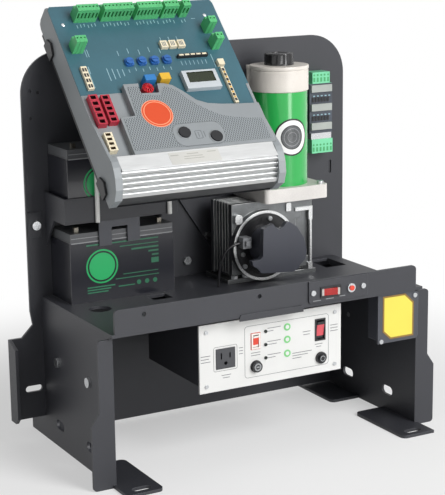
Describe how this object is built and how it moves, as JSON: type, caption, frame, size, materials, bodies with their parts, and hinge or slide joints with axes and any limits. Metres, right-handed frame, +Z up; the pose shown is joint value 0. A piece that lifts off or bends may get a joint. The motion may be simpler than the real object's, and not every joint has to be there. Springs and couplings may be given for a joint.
{
  "type": "sliding gate motor",
  "caption": "Sliding gate operator: folded steel base and back plate with worm gear motor, two batteries, sloping control box and power panel.",
  "frame": {"origin": "centre of the four floor slots, on the ground plane under the feet", "axes": "+Z up, -Y towards the switch panel at the front, +X to the right seen from the front"},
  "size_m": [0.562, 0.308, 0.5875],
  "materials": {
    "black_powder_coat": "semi-gloss powder coat",
    "cast_aluminium": "as cast and clear coated",
    "extruded_aluminium": "brushed, clear anodised",
    "green_enamel": "gloss enamel",
    "black_plastic": "fine grain",
    "dark_grey_plastic": "satin",
    "light_grey_plastic": "fine grain",
    "battery_case": "moulded",
    "bright_steel": "zinc plated",
    "dark_steel": "ground",
    "circuit_board_coat": "solder mask",
    "green_terminal": "moulded",
    "red_plastic": "moulded",
    "white_panel": "powder coat",
    "blue_plastic": "moulded",
    "copper_winding": "enamelled wire",
    "bronze": "machined"
  },
  "bodies": {
    "frame": {"left_side_panel": "black_powder_coat", "right_side_panel": "black_powder_coat", "shelf": "black_powder_coat", "back_plate": "black_powder_coat", "lower_battery": "battery_case", "upper_battery": "battery_case", "battery_terminals": "bright_steel", "battery_tray": "black_powder_coat", "battery_clamp": "black_powder_coat", "gearbox_housing": "cast_aluminium", "gearbox_cover": "cast_aluminium", "gearbox_foot": "cast_aluminium", "gear_mount_plate": "black_powder_coat", "motor_flange": "cast_aluminium", "motor_tube": "green_enamel", "motor_magnets": "dark_steel", "motor_end_bell": "cast_aluminium", "motor_cap": "black_plastic", "bearings": "bright_steel", "limit_base": "black_plastic", "limit_cover": "dark_grey_plastic", "limit_sensor": "light_grey_plastic", "sensor_cable": "black_plastic", "box_supports": "bright_steel", "power_box_case": "black_powder_coat", "power_panel": "white_panel", "outlet": "black_plastic", "switch_frames": "black_plastic", "switch_bracket": "black_powder_coat", "button_seats": "black_plastic", "panel_lamps": "green_terminal", "junction_cover": "black_powder_coat", "relay_modules": "dark_grey_plastic", "fasteners": "bright_steel"},
    "armature": {"armature": "copper_winding", "worm_shaft": "dark_steel"},
    "output": {"output_shaft": "dark_steel", "worm_wheel": "bronze", "drive_sprocket": "dark_steel", "limit_dial": "black_plastic"},
    "control_box": {"control_tray": "black_powder_coat", "control_housing": "light_grey_plastic", "circuit_board": "circuit_board_coat", "heatsink": "extruded_aluminium", "terminal_blocks": "green_terminal", "power_connectors": "red_plastic", "display": "light_grey_plastic", "board_parts": "light_grey_plastic"},
    "trim_pot_1": {"trim_pot_1": "blue_plastic"},
    "trim_pot_2": {"trim_pot_2": "blue_plastic"},
    "trim_pot_3": {"trim_pot_3": "blue_plastic"},
    "trim_pot_4": {"trim_pot_4": "blue_plastic"},
    "left_button": {"left_button": "black_plastic"},
    "right_button": {"right_button": "black_plastic"},
    "dc_rocker": {"dc_rocker": "red_plastic"},
    "ac_rocker": {"ac_rocker": "red_plastic"},
    "lip_rocker": {"lip_rocker": "red_plastic"},
    "reset_button": {"reset_button": "red_plastic"},
    "breaker_button": {"breaker_button": "black_plastic"},
    "fuse_cap": {"fuse_cap": "black_plastic"}
  },
  "joints": [
    {"name": "motor_spin", "type": "hinge", "parent": "frame", "child": "armature", "pos_m": [0.109, 0.055, 0.3], "axis": [0, 0, 1], "continuous": true},
    {"name": "output_spin", "type": "hinge", "parent": "frame", "child": "output", "pos_m": [0.064, 0.06, 0.251], "axis": [0, 1, 0], "continuous": true},
    {"name": "control_box_lift", "type": "hinge", "parent": "frame", "child": "control_box", "pos_m": [0, 0.11, 0.5298], "axis": [-1, 0, 0], "range_deg": [0, 80]},
    {"name": "trim_pot_1_turn", "type": "hinge", "parent": "control_box", "child": "trim_pot_1", "pos_m": [-0.131, 0.02713, 0.51481], "axis": [0, -0.7193, 0.6947], "range_deg": [-135, 135]},
    {"name": "trim_pot_2_turn", "type": "hinge", "parent": "control_box", "child": "trim_pot_2", "pos_m": [-0.113, 0.02713, 0.51481], "axis": [0, -0.7193, 0.6947], "range_deg": [-135, 135]},
    {"name": "trim_pot_3_turn", "type": "hinge", "parent": "control_box", "child": "trim_pot_3", "pos_m": [-0.095, 0.02713, 0.51481], "axis": [0, -0.7193, 0.6947], "range_deg": [-135, 135]},
    {"name": "trim_pot_4_turn", "type": "hinge", "parent": "control_box", "child": "trim_pot_4", "pos_m": [-0.077, 0.02713, 0.51481], "axis": [0, -0.7193, 0.6947], "range_deg": [-135, 135]},
    {"name": "left_button_press", "type": "slide", "parent": "control_box", "child": "left_button", "axis": [0, 0.7193, -0.6947], "range_m": [0, 0.002], "stiffness_N_per_m": 400, "springref_m": -0.001},
    {"name": "right_button_press", "type": "slide", "parent": "control_box", "child": "right_button", "axis": [0, 0.7193, -0.6947], "range_m": [0, 0.002], "stiffness_N_per_m": 400, "springref_m": -0.001},
    {"name": "dc_rocker_tilt", "type": "hinge", "parent": "frame", "child": "dc_rocker", "pos_m": [-0.019, -0.095, 0.156], "axis": [-1, 0, 0], "range_deg": [0, 19]},
    {"name": "ac_rocker_tilt", "type": "hinge", "parent": "frame", "child": "ac_rocker", "pos_m": [0.08, -0.094, 0.157], "axis": [-1, 0, 0], "range_deg": [0, 19]},
    {"name": "lip_rocker_tilt", "type": "hinge", "parent": "frame", "child": "lip_rocker", "pos_m": [0.082, -0.1175, 0.214], "axis": [0, 0, 1], "range_deg": [0, 19]},
    {"name": "reset_press", "type": "slide", "parent": "frame", "child": "reset_button", "axis": [0, 1, 0], "range_m": [0, 0.0015], "stiffness_N_per_m": 300, "springref_m": -0.001},
    {"name": "breaker_press", "type": "slide", "parent": "frame", "child": "breaker_button", "axis": [0, 1, 0], "range_m": [0, 0.003], "stiffness_N_per_m": 300, "springref_m": -0.001},
    {"name": "fuse_cap_turn", "type": "hinge", "parent": "frame", "child": "fuse_cap", "pos_m": [-0.019, -0.096, 0.122], "axis": [0, 1, 0], "range_deg": [0, 90]}
  ],
  "couplings": [
    {"joint": "output_spin", "follows": "motor_spin", "ratio": 0.029412}
  ]
}
